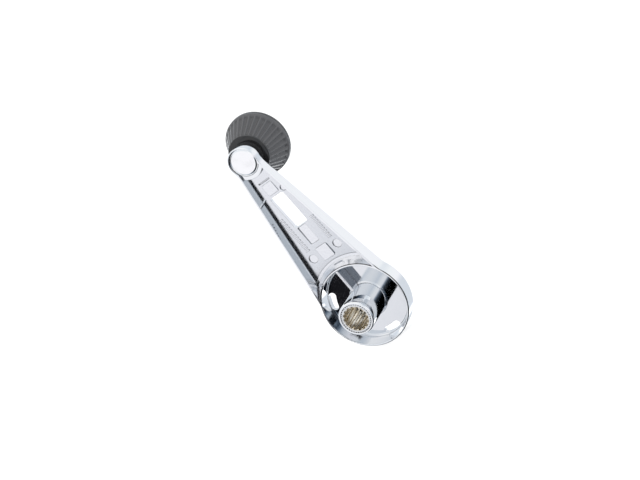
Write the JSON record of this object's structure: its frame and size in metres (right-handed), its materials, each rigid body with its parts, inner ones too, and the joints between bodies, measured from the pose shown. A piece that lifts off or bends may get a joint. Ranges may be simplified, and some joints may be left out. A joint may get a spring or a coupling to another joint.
{
  "type": "window crank",
  "caption": "Window crank: a chrome-plated arm with a splined hub cup at one end and a free-turning fluted black knob at the other.",
  "frame": {"origin": "on the spindle axis, in the plane of the hub's rim", "axes": "+Y out of the spline socket towards the door, +Z along the arm to the knob, X across the arm"},
  "size_m": [0.048, 0.0419, 0.1385],
  "materials": {
    "chrome_plate": "bright chrome plate on a zinc die casting",
    "bush_brass": "pale broached metal, unplated",
    "pin_plate": "bright plate on turned steel",
    "spring_steel": "oiled spring steel",
    "sleeve_plastic": "moulded black acetal",
    "knob_plastic": "moulded black plastic, half gloss",
    "cap_plastic": "moulded black plastic, satin"
  },
  "bodies": {
    "arm": {"crank_arm": "chrome_plate", "spline_bush": "bush_brass", "knob_pin": "pin_plate", "dished_washer": "spring_steel", "thrust_washer": "spring_steel", "retaining_ring": "spring_steel"},
    "knob": {"knob_body": "knob_plastic", "pivot_sleeve": "sleeve_plastic", "knob_cap": "cap_plastic"}
  },
  "joints": [
    {"name": "knob_spin", "type": "hinge", "parent": "arm", "child": "knob", "pos_m": [0, -0.0168, 0.097], "axis": [0, 1, 0], "continuous": true}
  ]
}
